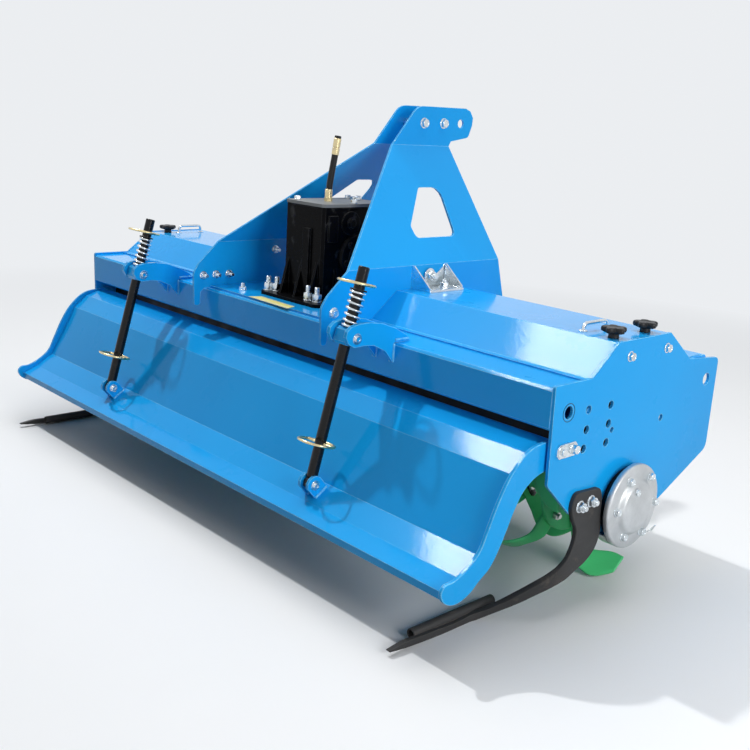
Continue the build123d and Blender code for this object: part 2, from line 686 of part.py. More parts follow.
# ---------------------------------------------------------------- hood furniture
with BuildPart() as knob:
    with BuildSketch(Plane.XY):
        RegularPolygon(9, 8)
    extrude(amount=12)
    with BuildSketch(Plane.XY.offset(12)):
        Polygon(*[(r * math.cos(math.radians(a)), r * math.sin(math.radians(a)))
                  for k in range(5)
                  for r, a in ((28, 72 * k - 14), (28, 72 * k + 14), (19, 72 * k + 36))],
                align=None)
    extrude(amount=14)
KNOB_X = HALF_WIDTH - 43.0
knob_spots = [(KNOB_X, -45), (KNOB_X, 85), (-KNOB_X, -30)]
put("hood_knobs", Compound(children=[knob.part.moved(Location((x, y, HOOD_TOP)))
                                     for x, y in knob_spots]))
with BuildPart() as handle:
    with BuildLine():
        Polyline((0, -45, 0), (0, -45, 26), (0, 45, 26), (0, 45, 0))
    with BuildSketch(Plane(origin=(0, -45, 0), z_dir=(0, 0, 1))):
        RegularPolygon(5, 8)
    sweep(transition=Transition.RIGHT)
handle_spots = [(KNOB_X - 80, -5), (30 - KNOB_X, 45)]
put("lift_handles", Compound(children=[handle.part.moved(Location((x, y, HOOD_TOP)))
                                       for x, y in handle_spots]))
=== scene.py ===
"""Rotary tiller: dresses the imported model. Metres; +X right-hand end, +Y tractor, +Z up."""
import json
import math

import bpy
import numpy as np
from mathutils import Matrix, Vector


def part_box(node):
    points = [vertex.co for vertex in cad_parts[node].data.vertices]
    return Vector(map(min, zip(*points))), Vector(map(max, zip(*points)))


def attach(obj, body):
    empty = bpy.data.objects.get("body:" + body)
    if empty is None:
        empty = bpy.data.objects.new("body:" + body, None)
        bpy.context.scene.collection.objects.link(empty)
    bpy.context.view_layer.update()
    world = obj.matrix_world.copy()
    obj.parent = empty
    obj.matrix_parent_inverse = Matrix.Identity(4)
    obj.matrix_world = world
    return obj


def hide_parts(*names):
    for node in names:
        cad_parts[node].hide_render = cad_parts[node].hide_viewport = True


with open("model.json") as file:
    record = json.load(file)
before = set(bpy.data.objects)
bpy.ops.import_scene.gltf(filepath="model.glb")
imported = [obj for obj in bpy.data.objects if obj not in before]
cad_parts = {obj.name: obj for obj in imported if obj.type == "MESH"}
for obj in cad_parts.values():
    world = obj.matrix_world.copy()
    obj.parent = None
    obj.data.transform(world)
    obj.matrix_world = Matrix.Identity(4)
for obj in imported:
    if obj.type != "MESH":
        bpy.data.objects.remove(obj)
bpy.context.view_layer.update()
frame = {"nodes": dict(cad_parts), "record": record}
nodes = frame["nodes"]
AXIS_Y = 0.086      # the rotor axis lies this far in front of the part's origin, in metres
AXIS_Z = 235.0      # and this high above the ground, in millimetres


def place(x, y, z):
    """Millimetres across, ahead of the rotor axis and up, as metres in the part's frame."""
    return np.array([x / 1000.0, y / 1000.0 + AXIS_Y, z / 1000.0])


def around(n):
    """n equal steps of a full turn, in radians."""
    return np.arange(n) * 2 * math.pi / n


# ---------------------------------------------------------------- finishes
class Finish:
    """One material and short ways to wire its nodes."""

    def __init__(self, name):
        self.mat = bpy.data.materials.new(name)
        self.mat.use_nodes = True
        self.tree = self.mat.node_tree
        self.shader = self.tree.nodes["Principled BSDF"]
        self.where = self.tree.nodes.new("ShaderNodeTexCoord").outputs["Object"]

    def new(self, kind, **props):
        n = self.tree.nodes.new(kind)
        for k, v in props.items():
            setattr(n, k, v)
        return n

    def feed(self, socket, value):
        """Link an output into a socket, or set the socket to a number or colour."""
        if hasattr(value, "is_output"):
            self.tree.links.new(value, socket)
        elif isinstance(value, tuple) and len(value) == 3 and socket.type == "RGBA":
            socket.default_value = (*value, 1.0)
        else:
            socket.default_value = value

    def set(self, **sockets):
        """Sockets of the shader, written with _ for a space."""
        for k, v in sockets.items():
            self.feed(self.shader.inputs[k.replace("_", " ")], v)

    def noise(self, scale, detail=3.0, rough=0.5, distort=0.0):
        n = self.new("ShaderNodeTexNoise")
        for k, v in (("Scale", scale), ("Detail", detail), ("Roughness", rough), ("Distortion", distort)):
            n.inputs[k].default_value = v
        self.tree.links.new(self.where, n.inputs["Vector"])
        return n.outputs["Fac"]

    def crystals(self, scale):
        n = self.new("ShaderNodeTexVoronoi")
        n.inputs["Scale"].default_value = scale
        self.tree.links.new(self.where, n.inputs["Vector"])
        return n.outputs["Distance"]

    def calc(self, op, a, b=0.0, c=0.0):
        n = self.new("ShaderNodeMath", operation=op)
        for socket, v in zip(n.inputs, (a, b, c)):
            self.feed(socket, v)
        return n.outputs[0]

    def remap(self, value, low, high, a=0.0, b=1.0):
        """Between low and high the value becomes a number from a to b."""
        n = self.new("ShaderNodeMapRange", clamp=True)
        for k, v in (("Value", value), ("From Min", low), ("From Max", high), ("To Min", a), ("To Max", b)):
            self.feed(n.inputs[k], v)
        return n.outputs[0]

    def blend(self, share, a, b):
        n = self.new("ShaderNodeMix", data_type="RGBA")
        self.feed(n.inputs["Factor"], share)
        self.feed(n.inputs[6], a)
        self.feed(n.inputs[7], b)
        return n.outputs[2]

    def bump(self, height, strength, depth, normal=None):
        n = self.new("ShaderNodeBump")
        n.inputs["Strength"].default_value = strength
        n.inputs["Distance"].default_value = depth
        self.tree.links.new(height, n.inputs["Height"])
        if normal is not None:
            self.tree.links.new(normal, n.inputs["Normal"])
        return n.outputs["Normal"]

    def round_edge(self, radius):
        """The normal that an edge rounded to this radius would have."""
        n = self.new("ShaderNodeBevel", samples=6)
        n.inputs["Radius"].default_value = radius
        return n.outputs["Normal"]

    def edge_share(self, soft, low=0.004, high=0.10):
        """0 on a flat and 1 on an edge: how far the rounded normal leans from the face's own."""
        n = self.new("ShaderNodeVectorMath", operation="DOT_PRODUCT")
        self.tree.links.new(soft, n.inputs[0])
        self.tree.links.new(self.new("ShaderNodeNewGeometry").outputs["True Normal"], n.inputs[1])
        return self.remap(self.calc("SUBTRACT", 1.0, n.outputs["Value"]), low, high)

    def axes(self):
        n = self.new("ShaderNodeSeparateXYZ")
        self.tree.links.new(self.where, n.inputs[0])
        return n.outputs


def enamel(name, base, deep, edge_tint, rough=0.26, coat=1.0, edge=0.0022, peel=0.24, fold=(0.0006, 0.02)):
    """Sprayed enamel: slow colour drift, orange peel, a little dust, and an edge colour on rounded edges; on
    the blue paint that colour is a painted highlight.
    """
    f = Finish(name)
    drift = f.noise(1.7, 2.0)
    dust = f.noise(7.0, 6.0, 0.62)
    colour = f.blend(f.remap(drift, 0.3, 0.7), deep, base)
    colour = f.blend(f.remap(dust, 0.60, 0.85, 0.0, 0.05), colour, (0.30, 0.42, 0.55))
    soft = f.round_edge(edge)
    # rounded edges take the edge colour, broken up by noise; on the blue paint it is a painted highlight
    edge_breakup = f.remap(f.noise(60.0, 3.0), 0.35, 0.6, 0.45, 1.0)
    share = f.calc("MULTIPLY", f.edge_share(soft, *fold), edge_breakup)
    f.set(Base_Color=f.blend(share, colour, edge_tint))
    f.set(Roughness=f.remap(dust, 0.35, 0.75, rough, rough + 0.10))
    f.set(Coat_Weight=coat, Coat_Roughness=0.06, Coat_IOR=1.21, Specular_IOR_Level=0.03)
    peeled = f.bump(f.noise(150.0, 2.0), peel, 0.0005, soft)
    f.set(Normal=peeled, Coat_Normal=peeled)
    return f


def plated(name, base, shade, rough, edge=0.0010, spangle=90.0):
    """Electroplated steel: bright metal with cloudy patches and a faint crystal grain."""
    f = Finish(name)
    cloud = f.noise(28.0, 5.0, 0.6)
    mixed = f.calc("ADD", f.calc("MULTIPLY", cloud, 0.75), f.calc("MULTIPLY", f.crystals(spangle), 0.35))
    f.set(Metallic=1.0, Base_Color=f.blend(f.remap(mixed, 0.30, 0.72), shade, base))
    f.set(Roughness=f.remap(cloud, 0.3, 0.7, rough - 0.07, rough + 0.12))
    f.set(Normal=f.bump(f.noise(420.0, 2.0), 0.10, 0.0002, f.round_edge(edge)))
    return f


def dark_steel(name, base, worn_and_highlit_colour, rough, coat=0.0, grain=240.0, depth=0.25, edge=0.0014, edge_wear_and_highlight=0.5, gloss=0.3):
    """Black or dark grey steel: rolled grain, scuffs and paler rounded edges, which are partly rubbed metal
    and partly a painted highlight.
    """
    f = Finish(name)
    scuff = f.noise(26.0, 7.0, 0.65, 0.4)
    soft = f.round_edge(edge)
    # paler edges: rubbed metal, and on the black casting a painted highlight
    rubbed_and_highlit_edges = f.calc("MULTIPLY", f.edge_share(soft), f.remap(scuff, 0.35, 0.6, 0.1, edge_wear_and_highlight))
    share = f.calc("MAXIMUM", f.remap(scuff, 0.60, 0.78, 0.0, 0.7), rubbed_and_highlit_edges)
    f.set(Base_Color=f.blend(share, base, worn_and_highlit_colour), Roughness=f.remap(scuff, 0.3, 0.7, rough, rough + 0.16))
    f.set(Coat_Weight=coat, Coat_Roughness=0.10, Specular_IOR_Level=gloss)
    f.set(Normal=f.bump(f.noise(grain, 4.0, 0.6), depth, 0.0005, soft))
    return f


# the blue's third colour, a pale cyan, is a painted highlight along rounded edges
blue_enamel = enamel("blue_enamel", (0.008, 0.385, 0.88), (0.007, 0.34, 0.80), (0.26, 0.72, 1.0))
blade_enamel = enamel("blade_enamel", (0.10, 0.72, 0.26), (0.08, 0.64, 0.215), (0.16, 0.60, 0.28),
                      rough=0.30, coat=0.4, edge=0.0045, fold=(0.03, 0.2))
zinc_plate = plated("zinc_plate", (0.82, 0.86, 0.88), (0.62, 0.67, 0.70), 0.22)
yellow_zinc = plated("yellow_zinc_plate", (0.84, 0.70, 0.38), (0.62, 0.52, 0.34), 0.26)
turned_steel = plated("turned_steel", (0.62, 0.62, 0.61), (0.48, 0.48, 0.47), 0.32)
# on this casting the paler colour and its large share on edges paint a highlight along them; the same colour
# marks scuffs
black_casting = dark_steel("black_casting", (0.003, 0.003, 0.0035), (0.09, 0.092, 0.094), 0.22, coat=0.05,
                           grain=150.0, depth=0.10, edge=0.0025, edge_wear_and_highlight=0.7, gloss=0.03)
black_paint = dark_steel("black_paint", (0.005, 0.005, 0.0055), (0.04, 0.036, 0.032), 0.20, coat=0.25,
                         depth=0.06, gloss=0.15)
skid_steel = dark_steel("skid_steel", (0.040, 0.040, 0.041), (0.13, 0.11, 0.095), 0.50,
                        depth=0.4, edge=0.0025)
lid_casting = dark_steel("lid_casting", (0.17, 0.178, 0.178), (0.32, 0.32, 0.32), 0.38,
                         grain=190.0, depth=0.15, gloss=0.5)
hose_rubber = dark_steel("hose_rubber", (0.012, 0.012, 0.012), (0.03, 0.03, 0.03), 0.36)
knob_plastic = dark_steel("knob_plastic", (0.012, 0.012, 0.013), (0.04, 0.04, 0.04), 0.30,
                          grain=700.0, depth=0.12)
pale_label = enamel("pale_label", (0.90, 0.82, 0.26), (0.84, 0.76, 0.22), (0.8, 0.78, 0.5),
                    rough=0.35, coat=0.2)

# the hubs' covers: sand-cast aluminium, turned on the lathe and left satin
f = cast_cover = Finish("cast_cover")
x, y, z = f.axes()
from_axis = [f.calc("POWER", f.calc("SUBTRACT", y, AXIS_Y), 2.0),
             f.calc("POWER", f.calc("SUBTRACT", z, AXIS_Z / 1000), 2.0)]
radial = f.calc("SQRT", f.calc("ADD", *from_axis))
rings = f.calc("SINE", f.calc("MULTIPLY", radial, 5200.0))
pits = f.noise(520.0, 4.0, 0.6)
cloud = f.noise(17.0, 5.0, 0.6)
f.set(Metallic=0.82, Base_Color=f.blend(f.remap(cloud, 0.3, 0.7), (0.52, 0.54, 0.55), (0.70, 0.72, 0.73)))
f.set(Roughness=f.remap(cloud, 0.3, 0.7, 0.36, 0.50))
f.set(Normal=f.bump(rings, 0.10, 0.0002, f.bump(pits, 0.25, 0.0003)))

slots = {"blue_paint": blue_enamel, "black_case": black_casting, "black_steel": black_paint,
         "dark_bar": skid_steel, "green_blade": blade_enamel, "zinc": zinc_plate, "yellow_zinc": yellow_zinc,
         "bare_steel": turned_steel, "hose_rubber": hose_rubber, "knob_plastic": knob_plastic}
for part in frame["record"]["subparts"]:
    o = nodes[part["node"]]
    finish = lid_casting if part["node"] == "gearbox_lid" else slots[part["material_slot"]]
    o.data.materials.clear()
    o.data.materials.append(finish.mat)


# ---------------------------------------------------------------- surfaces from formulas
def across(axis):
    """Three unit vectors as rows: two across an axis, and the axis itself."""
    w = np.array(axis, float) / np.linalg.norm(axis)
    aid = np.array([0.0, 0.0, 1.0]) if abs(w[2]) < 0.9 else np.array([1.0, 0.0, 0.0])
    u = np.cross(aid, w)
    u /= np.linalg.norm(u)
    return u, np.cross(w, u), w


def unit(v):
    """The vector, or each row of vectors, at length one."""
    return v / np.linalg.norm(v, axis=-1, keepdims=True)


def ring_quads(m, n):
    """Four-sided faces that join m rings of n points, ring by ring."""
    i, j = np.meshgrid(np.arange(m - 1), np.arange(n), indexing="ij")
    k = (j + 1) % n
    return np.stack([i * n + j, i * n + k, (i + 1) * n + k, (i + 1) * n + j], axis=-1).reshape(-1, 4)


def on_plane(x, yz):
    """Points given as millimetres ahead of the rotor axis and up, on the plane at x metres."""
    return np.stack([0 * yz[:, 0] + x, yz[:, 0] / 1000 + AXIS_Y, yz[:, 1] / 1000], 1)


class Piece:
    """Collects the patches of one piece; each is a grid of points joined by four-sided faces."""

    def __init__(self):
        self.points, self.faces, self.count = [], [], 0

    def grid(self, p, caps=(True, True)):
        """Rows of points, each closed into a ring and joined to the next; a cap fills an end ring."""
        m, n = p.shape[:2]
        self.faces += (ring_quads(m, n) + self.count).tolist()
        if caps[0]:
            self.faces.append((np.arange(n)[::-1] + self.count).tolist())
        if caps[1]:
            self.faces.append((np.arange(n) + (m - 1) * n + self.count).tolist())
        self.points.append(p.reshape(-1, 3))
        self.count += m * n

    def make(self, name, finish, body, slot, replaces=None, sharp=32.0):
        """The finished object: smooth but for edges sharper than an angle in degrees."""
        mesh = bpy.data.meshes.new(name)
        mesh.from_pydata(np.concatenate(self.points).tolist(), [], self.faces)
        mesh.polygons.foreach_set("use_smooth", [True] * len(mesh.polygons))
        mesh.update()
        mesh.set_sharp_from_angle(angle=math.radians(sharp))
        mesh.materials.append(finish.mat)
        o = bpy.data.objects.new(name, mesh)
        bpy.context.scene.collection.objects.link(o)
        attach(o, body)
        if replaces:
            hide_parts(replaces)
        return o


def turned(piece, p, axis, rows, n=28, caps=(True, True), spin=0.0):
    """A body turned about an axis from p. A row is (height, radius) or (height, half across flats,
    limit): that radius follows a hexagon, r / cos of the angle from the nearest flat, and never
    passes the limit, which draws the round chamfer of a bolt head."""
    u, v, w = across(axis)
    h, r, limit = (np.array([[row[k] if len(row) > k else 0.0] for row in rows]) for k in range(3))
    a = around(n) + spin
    flats = 1.0 / np.cos((a - spin + math.pi / 6) % (math.pi / 3) - math.pi / 6)
    radius = np.where(limit > 0, np.minimum(r * flats, limit), r * np.ones(n))
    piece.grid(np.asarray(p) + (radius * np.cos(a))[..., None] * u + (radius * np.sin(a))[..., None] * v
               + h[..., None] * w, caps)


def bar(piece, path, r, flat, n=14, closed=False):
    """A round bar along points: each ring is the point plus r (cos a U + sin a V), where V is the
    direction of travel times U and U is square to both travel and the given direction."""
    path = np.asarray(path, float)
    travel = unit((np.roll(path, -1, 0) - np.roll(path, 1, 0)) if closed else np.gradient(path, axis=0))
    u = unit(np.cross(np.broadcast_to(flat, travel.shape), travel))
    v = np.cross(travel, u)
    a = around(n)[None, :, None]
    r = np.broadcast_to(r, len(path))[:, None, None]
    p = path[:, None] + r * (np.cos(a) * u[:, None] + np.sin(a) * v[:, None])
    if closed:
        p = np.concatenate([p, p[:1]])
    piece.grid(p, (not closed, not closed))


def bend_line(points, r, steps=6):
    """A line of points whose corners become curves: each blends the two runs that meet there."""
    points = [np.asarray(p, float) for p in points]
    s = np.linspace(0, 1, steps + 1)[:, None]
    out = [points[0][None]]
    for a, b, c in zip(points, points[1:], points[2:]):
        out.append((b + unit(a - b) * r * (1 - s)) * (1 - s) + (b + unit(c - b) * r * s) * s)
    return np.concatenate(out + [points[-1][None]])


def washer_rows(r, bore):
    """A flat washer 2.1 mm thick with a broken edge, from its rim in to a bore."""
    return [(0, r), (0.0018, r), (0.0021, r - 0.0005), (0.0021, bore)]


def bolt(piece, p, axis, af=0.019, head=0.0085, washer=0.0125, spin=0.3):
    """A hexagon head with a round chamfer and a raised ring, on a washer."""
    r = af / 2
    if washer:
        turned(piece, p, axis, washer_rows(washer, r * 0.8))
    w = 0.002 if washer else 0.0
    rows = [(w, r, 9), (w + head * 0.72, r, r * 1.16), (w + head * 0.92, r, r * 1.04),
            (w + head, r, r * 0.93), (w + head, r * 0.80), (w + head - 0.0006, r * 0.76)]
    turned(piece, p, axis, rows, 36, spin=spin)


def stud(piece, p, axis, r=0.006, out=0.024, af=0.019, nut=0.0095, washer=0.0125, spin=0.1):
    """A nut on a washer and the threaded end of a bolt through it; the thread is a row of rings."""
    h = af / 2
    turned(piece, p, axis, washer_rows(washer, h * 0.8))
    rows = [(0.002, h, h * 1.05), (0.0032, h, h * 1.16), (nut * 0.85, h, h * 1.16), (nut, h, h * 1.02),
            (nut, r * 1.1), (nut - 0.001, r)]
    turned(piece, p, axis, rows, 36, spin=spin)
    z = np.arange(nut, out - 0.0016, 0.0014)
    crest, root = np.full(len(z), r), np.full(len(z), r * 0.88)
    thread = np.stack([z, crest, z + 0.0005, crest, z + 0.0008, root], 1).reshape(-1, 2).tolist()
    turned(piece, p, axis, [(nut - 0.001, r * 0.9), *thread, (out - 0.0012, r), (out, r * 0.82)], 16)


def weld(piece, a, b, side, r=0.0035, pitch=0.0045, seed=1):
    """A weld bead from a to b: a half-sunk bar whose radius swells at each ripple, |sin| of the way."""
    a, b = np.asarray(a), np.asarray(b)
    size = np.linalg.norm(b - a)
    k = max(8, int(size / pitch) * 5)
    s = np.linspace(0, 1, k)
    chance = np.random.default_rng(seed)
    drift = np.cumsum(chance.normal(0, 0.00010, (k, 3)), axis=0)
    drift -= np.outer(s, drift[-1])
    swell = r * (0.80 + 0.24 * np.abs(np.sin(s * size / pitch * math.pi)) + chance.normal(0, 0.03, k))
    swell[[0, -1]] = r * 0.35
    bar(piece, a + np.outer(s, b - a) + drift, swell, side, 8)


def slab(piece, outline, lift, r=0.0006):
    """A flat plate over a closed outline, raised by the vector lift; its top edge is turned in by r,
    square to the outline's own direction of travel."""
    p = np.asarray(outline, float)
    lift = np.asarray(lift, float)
    up = unit(lift)
    travel = np.roll(p, -1, 0) - np.roll(p, 1, 0)
    inward = np.cross(up, travel)
    inward /= np.linalg.norm(inward, axis=1)[:, None] + 1e-12
    turn = np.sum(np.cross(p - p.mean(axis=0), travel), axis=0) @ up
    inward *= math.copysign(1.0, turn)
    rows = np.stack([p, p + lift - up * r, p + lift - up * r * 0.3 + inward * r * 0.3, p + lift + inward * r])
    piece.grid(rows if turn > 0 else rows[:, ::-1])


def cubic(t, a, slope_a, b, slope_b):
    """The curve from a to b with the given slopes at its ends: each is weighed by its own cubic in t."""
    return ((2 * t ** 3 - 3 * t ** 2 + 1) * a + (t ** 3 - 2 * t ** 2 + t) * slope_a
            + (3 * t ** 2 - 2 * t ** 3) * b + (t ** 3 - t ** 2) * slope_b)


def flowing(points, steps=5):
    """A closed outline drawn smoothly through its points: on each run a cubic between the two
    points, whose end slopes are the unit tangents there times the run's own length."""
    p = np.asarray(points, float)
    run = np.roll(p, -1, 0) - p
    size = np.linalg.norm(run, axis=1)[:, None]
    way = run / size
    tangent = unit(np.roll(way, 1, 0) * size + way * np.roll(size, 1, 0))
    t = (np.arange(steps) / steps)[None, :, None]
    curve = cubic(t, p[:, None], (tangent * size)[:, None],
                  np.roll(p, -1, 0)[:, None], (np.roll(tangent, -1, 0) * size)[:, None])
    return curve.reshape(-1, p.shape[1])


def through(points, n):
    """n points of a smooth open line through the given ones: a cubic on each run between two of
    them, whose slope at each point is the central difference of its neighbours over distance."""
    p = np.asarray(points, float)
    at = np.concatenate([[0], np.cumsum(np.linalg.norm(np.diff(p, axis=0), axis=1))])
    slope = np.gradient(p, at, axis=0)
    u = np.linspace(0, at[-1], n)
    i = np.clip(np.searchsorted(at, u, "right") - 1, 0, len(p) - 2)
    run = (at[i + 1] - at[i])[:, None]
    return cubic((u - at[i])[:, None] / run, p[i], run * slope[i], p[i + 1], run * slope[i + 1])


# ---------------------------------------------------------------- heights and faces, in millimetres
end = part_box("end_plate_right")[1][0] * 1000       # outer face of the right end plate
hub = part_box("hub_right")[1][0] * 1000             # outer face of the right hub
face = hub - 21.0                                  # the rim's outer face, which the bolts sit on
skid_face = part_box("skid_right")[1][0] * 1000
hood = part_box("hood_right")[1][2] * 1000           # top of the hoods
mast_in, mast_out = 299, 305                       # inner and outer face of the mast's right plate
beam_top, foot_top, lid_top = 562, 572, 845        # tops of the rear beam, the gearbox's foot and its lid
input_z = 690                                      # height of the input shaft

# ---------------------------------------------------------------- hubs
cap = (-17, 278)                                   # the filler cap on the dome, ahead and up
d = (face - end) / 1000
cover_rows = [(0.0196, 0.060), (0.0196, 0.1005), (0.0203, 0.1022), (0.0220, 0.1030), (d - 0.0052, 0.1030),
              (d - 0.0026, 0.1023), (d - 0.0008, 0.1003), (d, 0.0975), (d, 0.0740), (d + 0.0012, 0.0700),
              (d + 0.0036, 0.0672), (d + 0.0098, 0.0630), (d + 0.0124, 0.0605), (d + 0.0140, 0.0565),
              (d + 0.0146, 0.0530), (d + 0.0150, 0.0500), (d + 0.0162, 0.0470), (d + 0.0165, 0.0430),
              (d + 0.0165, 0.001)]
for side, name in ((-1, "left"), (1, "right")):
    out = (side, 0, 0)
    at = place(side * end, 0, AXIS_Z)
    collar, cover = Piece(), Piece()
    turned(collar, at, out, [(0, 0.086), (0.018, 0.086), (0.0195, 0.0845)], 72)
    turned(cover, at, out, cover_rows, 96)
    turned(cover, place(side * (hub - 6.6), *cap), out, [(0, 0.0115), (0.0021, 0.0112), (0.0024, 0.0105)], 32)
    collar.make("hub_collar_" + name, black_paint, "frame", "black_steel")
    cover.make("hub_cover_" + name, cast_cover, "frame", "zinc", "hub_" + name, sharp=50)

# ---------------------------------------------------------------- fasteners
hood_bolts = ((-34, 596), (120, 598))              # ahead and up, on both sides alike
skid_studs = ((-187, 271), (-146, 275))
rim_bolts = ((-30, 303), (56, 299), (86, 229), (-72, 238), (-33, 167), (43, 162))
nose_bolts = ((243, 1082), (329, 1084))
mast_studs = ((-317, 595), (-272, 595), (-225, 594), (-50, 662))
hinge_bolt, hinge_pin = (-228, 414), (-266, 413)
foot_studs = ((-121, -204), (-97, -191), (61, -198), (97, -195), (-110, 72), (-60, 84), (60, 84), (110, 72))
lid_bolts = ((-69, -147, 0.017), (-69, 47, 0.017), (70, 47, 0.017), (-18, 31, 0.024), (-42, 66, 0.015),
             (70, -50, 0.017))
lock_wire = ((2, 44, 160), (17, 52, 166), (19, 78, 176), (5, 84, 154))
fasteners = Piece()
for side in (-1, 1):
    out = (side, 0, 0)
    for spot in hood_bolts:
        bolt(fasteners, place(side * end, *spot), out)
    bolt(fasteners, place(side * (end + 6), *hinge_bolt), out, head=0.012, washer=0.0125)
    turned(fasteners, place(side * (end + 6), *hinge_pin), out,
           [(0, 0.015), (0.002, 0.015), (0.0025, 0.0142), (0.0025, 0.0095)], 32)
    turned(fasteners, place(side * (end + 13.9), *hinge_pin), out,
           [(0, 0.0079), (0.0005, 0.0079), (0.0018, 0.0066)], 28)
    for spot in skid_studs:
        stud(fasteners, place(side * skid_face, *spot), out,
             r=0.007, out=0.0200, af=0.022, nut=0.012, washer=0.0145)
    for k, spot in enumerate(rim_bolts):
        bolt(fasteners, place(side * (face - 0.3), *spot), out, af=0.017, head=0.009, washer=0.0112, spin=k)
    bolt(fasteners, place(side * (hub - 5.0), *cap), out, af=0.015, head=0.0048, washer=0, spin=0.2)
    wire = bend_line([place(side * (face + x), y, z) for x, y, z in lock_wire], 0.006, 5)
    bar(fasteners, wire, 0.0014, (0.3, 0.2, 1), 8)
    for spot in nose_bolts:
        bolt(fasteners, place(side * 42, *spot), out, af=0.024, head=0.010, washer=0.016)
    bolt(fasteners, place(side * mast_out, -308, 588), out, head=0.009, washer=0.015)
    for spot in mast_studs:
        stud(fasteners, place(side * mast_in, *spot), (-side, 0, 0))
    stud(fasteners, place(side * 310, 36, 666), out, r=0.008, out=0.028, af=0.027, nut=0.014, washer=0.021)
    stud(fasteners, place(side * 345, 62, 638), (0, 0, 1),
         r=0.008, out=0.020, af=0.024, nut=0.012, washer=0.017)
stud(fasteners, place(-200, -241, beam_top), (0, 0, 1), out=0.02)
for x, y in foot_studs:
    stud(fasteners, place(x, y, foot_top), (0, 0, 1),
         r=0.0075, out=0.042, af=0.024, nut=0.022, washer=0.0145, spin=x)
for x, y, af in lid_bolts:
    bolt(fasteners, place(x, y, lid_top), (0, 0, 1), af=af, head=0.008, washer=af * 0.66, spin=x)
fasteners.make("frame_bolts", zinc_plate, "frame", "zinc")

# ---------------------------------------------------------------- mast brackets
# each is a foot, two gussets and a scooped back
bench = [(mast_out, -31, 632), (383, -31, 632), (383, 101, 632), (mast_out, 101, 632)]
for side, name in ((-1, "left"), (1, "right")):
    bracket = Piece()
    slab(bracket, [place(side * x, y, z) for x, y, z in bench][::side], (0, 0, 0.006), 0.0008)
    for y in (-31, 96):
        gusset = [(mast_out, y, 638), (379, y, 638), (379, y, 644), (314, y, 697), (mast_out, y, 697)]
        slab(bracket, [place(side * x, y, z) for x, y, z in gusset][::-side], (0, 0.005, 0), 0.0006)
    t = np.linspace(0, 1, 16)
    scoop = np.stack([94 - 100 * t, 694 - 44 * np.sin(t * math.pi / 2) ** 0.8], 1)
    back = on_plane(side * mast_out / 1000, np.concatenate([scoop, [[-25, 637.5], [95.5, 637.5]]]))
    slab(bracket, back[::side], (side * 0.005, 0, 0), 0.0006)
    bracket.make("mast_foot_" + name, zinc_plate, "frame", "zinc", "mast_bracket_" + name)


# ---------------------------------------------------------------- skids
def joggle(y):
    """How far out the skid's outer face lies at y: the bent line of its plan, averaged over 28 mm."""
    tail = end - 110.0
    bent = [(-660, tail), (-372, tail), (-330, tail + 26), (-246, end - 4),
            (-219, skid_face), (-60, skid_face)]
    return np.mean([np.interp(y + w, *zip(*bent)) for w in np.linspace(-14, 14, 7)], axis=0)


# a sickle bar 12 mm thick between two smooth edges; its tail runs inward behind the rotor, with a tube
rear = through([(-190, 304), (-200, 302), (-207, 294), (-213, 274), (-206, 244), (-190, 215), (-191, 189),
                (-204, 159), (-227, 131), (-262, 94), (-293, 64), (-319, 41), (-353, 22), (-403, 15),
                (-531, 18), (-598, 19), (-634, 14)], 96)
fore = through([(-124, 300), (-113, 298), (-106, 289), (-98, 229), (-93, 190), (-106, 152), (-140, 126),
                (-180, 112), (-224, 95), (-260, 70), (-291, 44), (-325, 20), (-366, 1), (-480, 0),
                (-545, 3), (-600, 7), (-634, 12)], 96)
bar_thick = 12
across_bar = np.array([0, 0.02, 0.2, 0.4, 0.6, 0.8, 0.98, 1.0])[:, None]
broken_edge = np.array([1.4, 0, 0, 0, 0, 0, 0, 1.4])
tube_rows = [(0, 0.001), (0, 0.0112), (0.001, 0.0120), (0.262, 0.0120), (0.263, 0.0114), (0.263, 0.0092),
             (0.262, 0.0086), (0.2, 0.0086), (0.2, 0.001)]
for side, name in ((-1, "left"), (1, "right")):
    runner = Piece()
    y, z = np.moveaxis(rear[:, None] + (fore - rear)[:, None] * across_bar, -1, 0)
    z = np.maximum(z, 0)
    outer = joggle(y)
    thick = bar_thick * np.sqrt(1 + ((joggle(y + 2) - joggle(y - 2)) / 4) ** 2)
    x = np.concatenate([outer - broken_edge, (outer - thick + broken_edge)[:, ::-1]], axis=1)
    y, z = (np.concatenate([q, q[:, ::-1]], axis=1) for q in (y, z))
    ring = np.stack([side * x, y, z], axis=-1) / 1000
    runner.grid(ring[:, ::-side] + (0, AXIS_Y, 0))
    turned(runner, place(side * (end - 132), -290, 17), (0, -1, 0), tube_rows, 32)
    runner.make("skid_runner_" + name, skid_steel, "frame", "dark_bar", "skid_" + name)

# ---------------------------------------------------------------- gearbox trim, with bolts painted over
trim = Piece()
painted = dict(af=0.013, head=0.006, washer=0.009)
for side in (-1, 1):
    for deg in range(0, 360, 60):
        a = math.radians(deg + 15)
        at = place(side * 97, -40 + 54 * math.cos(a), input_z + 54 * math.sin(a))
        bolt(trim, at, (side, 0, 0), spin=deg, **painted)
    bolt(trim, place(side * 91, -74, 790), (side, 0, 0), af=0.024, head=0.007, washer=0.017)
for deg in range(0, 360, 60):
    a = math.radians(deg)
    bolt(trim, place(50 * math.cos(a), 134, input_z + 50 * math.sin(a)), (0, 1, 0), spin=deg, **painted)
for side in (-1, 1):
    turned(trim, place(side * 87, -40, input_z), (side, 0, 0),
           [(0, 0.0725), (0.004, 0.0720), (0.0075, 0.0690), (0.0104, 0.0685), (0.0106, 0.0680),
            (0.0106, 0.0440), (0.0125, 0.0430), (0.0130, 0.0400), (0.0130, 0.001)], 72)
